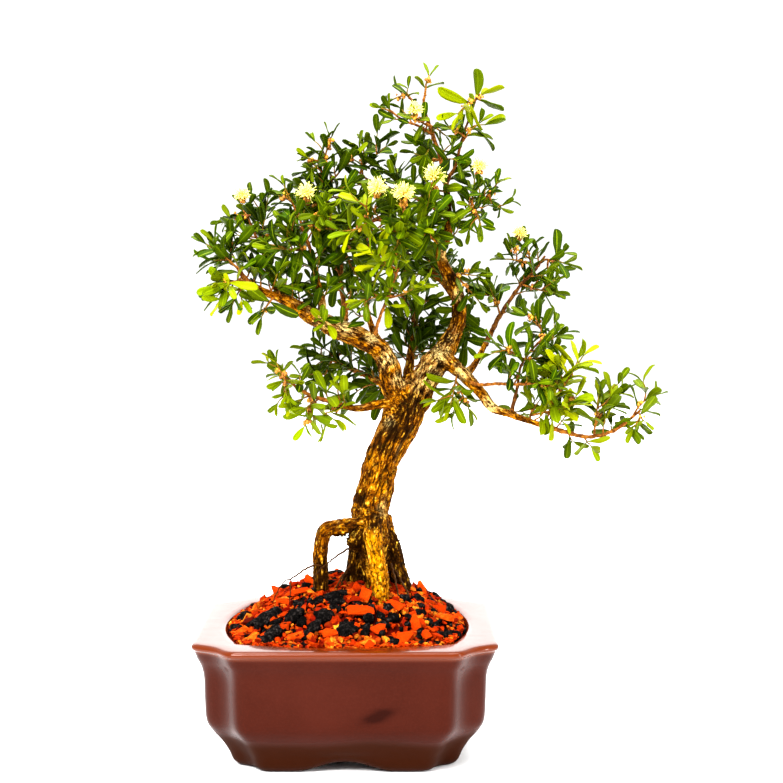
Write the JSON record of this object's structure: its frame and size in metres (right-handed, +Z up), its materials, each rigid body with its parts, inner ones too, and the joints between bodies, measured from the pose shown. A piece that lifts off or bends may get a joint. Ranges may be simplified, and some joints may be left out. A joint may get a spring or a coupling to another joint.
{
  "type": "harland boxwood bonsai in its pot",
  "caption": "Harland boxwood bonsai with a leaning trunk, an arched side root, leafy sprays and cream blooms, in a brown glazed pot of red and black chips.",
  "frame": {"origin": "on the floor, under the middle of the whole spread of the bonsai; the middle of the pot is 54.6 mm from it towards -X", "axes": "+Z up from the pot's feet to the crown, +X along the front of the pot towards the long right-hand branch, -Y towards the viewer"},
  "size_m": [0.307, 0.189, 0.4412],
  "materials": {
    "pot_glaze": "reddish brown glaze, glossy",
    "screen_plastic": "dark moulded mesh",
    "soil_chips": "broken orange red chips with black porous lumps",
    "bark": "rough golden bark with dark fissures and pale patches",
    "leaf": "dark green waxy leaves with a pale rib",
    "young_leaf": "yellow green waxy young leaves",
    "bloom": "cream yellow stamens"
  },
  "bodies": {
    "root": {"pot": "pot_glaze", "drain_screen": "screen_plastic", "soil": "soil_chips", "tree": "bark", "spray_apexCrown": "leaf", "spray_apexLeftTip": "leaf", "spray_apexRightMid": "leaf", "spray_apexRightTip": "young_leaf", "spray_backLeftTip": "leaf", "spray_backMiddleTip": "leaf", "spray_backUpperTip": "leaf", "spray_brightLower": "young_leaf", "spray_brightUpper": "young_leaf", "spray_crownFrontLow": "leaf", "spray_crownFrontMid": "leaf", "spray_crownFrontTip": "leaf", "spray_crownLeftBack": "leaf", "spray_crownLeftTip": "leaf", "spray_crownRightMid": "leaf", "spray_crownRightTip": "leaf", "spray_farRightTip": "leaf", "spray_farRightUp": "leaf", "spray_frontLow": "leaf", "spray_frontTip": "young_leaf", "spray_innerBack": "leaf", "spray_innerFace": "leaf", "spray_innerSide": "leaf", "spray_innerTop": "leaf", "spray_leaderHigh": "leaf", "spray_leaderMid": "leaf", "spray_leaderRight": "leaf", "spray_leaderSide": "leaf", "spray_leaderTip": "young_leaf", "spray_leftBack": "leaf", "spray_leftFace": "leaf", "spray_leftLow": "young_leaf", "spray_leftTip": "leaf", "spray_leftTop": "leaf", "spray_leftUnder": "leaf", "spray_limbUnder": "leaf", "spray_lowLeftHang": "young_leaf", "spray_lowLeftTip": "leaf", "spray_lowTwigMid": "leaf", "spray_lowTwigTip": "leaf", "spray_middleTop": "leaf", "spray_outerSide": "leaf", "spray_outerTop": "leaf", "spray_rightRiserHigh": "leaf", "spray_rightRiserLow": "leaf", "spray_rightRiserMid": "leaf", "spray_rightRiserTip": "leaf", "spray_sideTwigTip": "leaf", "bloom_Apex": "bloom", "bloom_Crown": "bloom", "bloom_Front": "bloom", "bloom_Left": "bloom", "bloom_Middle": "bloom", "bloom_Outer": "bloom", "bloom_Right": "bloom", "bloom_Riser": "bloom"}
  },
  "joints": []
}
